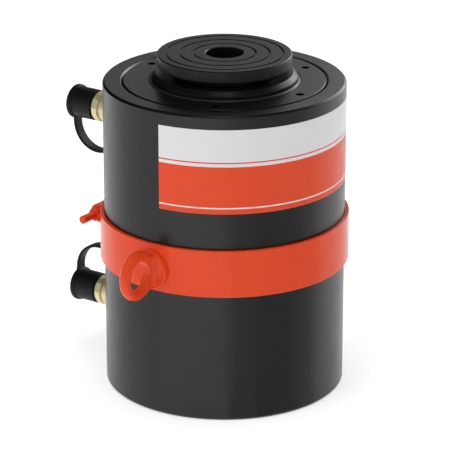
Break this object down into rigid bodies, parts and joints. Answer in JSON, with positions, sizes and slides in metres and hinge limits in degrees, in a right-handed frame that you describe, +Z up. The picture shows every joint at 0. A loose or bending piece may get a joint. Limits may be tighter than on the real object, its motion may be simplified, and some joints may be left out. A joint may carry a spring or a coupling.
{
  "type": "double-acting hydraulic cylinder",
  "caption": "Short heavy double-acting hydraulic cylinder with swivel saddle, orange lifting band with eyes, and capped brass couplers.",
  "frame": {"origin": "centre of the base's bottom face, on the cylinder's axis", "axes": "+Z up along the cylinder's axis towards the saddle; couplers point to -X; lifting eyes at -Y and +Y"},
  "size_m": [0.362, 0.3994, 0.397],
  "materials": {
    "black_paint": "satin black enamel on the barrel and gland nut",
    "black_oxide": "blackened steel of the rod's end and saddle",
    "orange_paint": "gloss orange enamel",
    "brass": "machined",
    "cap_rubber": "matt moulded black",
    "seal_rubber": "smooth nitrile",
    "backup_plastic": "natural",
    "wiper_plastic": "black polyurethane",
    "bearing_bronze": "bronze",
    "steel": "machined"
  },
  "bodies": {
    "barrel": {"cylinder_body": "black_paint", "gland_nut": "black_paint", "gland_o_ring": "seal_rubber", "gland_backup_ring": "backup_plastic", "rod_bearing": "bearing_bronze", "rod_seal": "seal_rubber", "rod_backup_ring": "backup_plastic", "rod_wiper": "wiper_plastic", "lifting_band": "orange_paint", "lifting_eye_front": "orange_paint", "lifting_eye_rear": "orange_paint", "band_bolt": "orange_paint", "band_nut": "orange_paint", "relief_valve": "black_paint", "advance_port_nipple": "brass", "advance_coupler_body": "brass", "advance_coupler_seal": "seal_rubber", "advance_spring_guide": "steel", "advance_poppet_spring": "steel", "advance_strap_ring": "cap_rubber", "advance_cap_strap": "cap_rubber", "retract_port_nipple": "brass", "retract_coupler_body": "brass", "retract_coupler_seal": "seal_rubber", "retract_spring_guide": "steel", "retract_poppet_spring": "steel", "retract_strap_ring": "cap_rubber", "retract_cap_strap": "cap_rubber"},
    "rod": {"piston_rod": "black_oxide", "piston_head": "steel", "piston_seal": "seal_rubber", "piston_backup_rings": "backup_plastic", "piston_wear_rings": "backup_plastic", "piston_o_ring": "seal_rubber", "piston_nut": "steel", "piston_nut_screw": "steel"},
    "saddle_seat": {"saddle_seat": "black_oxide"},
    "saddle": {"saddle": "black_oxide"},
    "advance_cap": {"advance_dust_cap": "cap_rubber"},
    "retract_cap": {"retract_dust_cap": "cap_rubber"},
    "advance_poppet": {"advance_poppet": "steel"},
    "retract_poppet": {"retract_poppet": "steel"}
  },
  "joints": [
    {"name": "rod_slide", "type": "slide", "parent": "barrel", "child": "rod", "axis": [0, 0, 1], "range_m": [0, 0.152]},
    {"name": "saddle_spin", "type": "hinge", "parent": "rod", "child": "saddle_seat", "pos_m": [0, 0, 0.343], "axis": [0, 0, 1], "continuous": true},
    {"name": "saddle_tilt", "type": "hinge", "parent": "saddle_seat", "child": "saddle", "pos_m": [0, 0, 0.4309], "axis": [1, 0, 0], "range_deg": [-5, 5]},
    {"name": "advance_cap_pull", "type": "slide", "parent": "barrel", "child": "advance_cap", "axis": [-1, 0, 0], "range_m": [0, 0.025], "deforming": ["advance_cap_strap"]},
    {"name": "advance_poppet_push", "type": "slide", "parent": "barrel", "child": "advance_poppet", "axis": [1, 0, 0], "range_m": [0, 0.004], "stiffness_N_per_m": 800, "springref_m": -0.004, "deforming": ["advance_poppet_spring"]},
    {"name": "retract_cap_pull", "type": "slide", "parent": "barrel", "child": "retract_cap", "axis": [-1, 0, 0], "range_m": [0, 0.025], "deforming": ["retract_cap_strap"]},
    {"name": "retract_poppet_push", "type": "slide", "parent": "barrel", "child": "retract_poppet", "axis": [1, 0, 0], "range_m": [0, 0.004], "stiffness_N_per_m": 800, "springref_m": -0.004, "deforming": ["retract_poppet_spring"]}
  ]
}
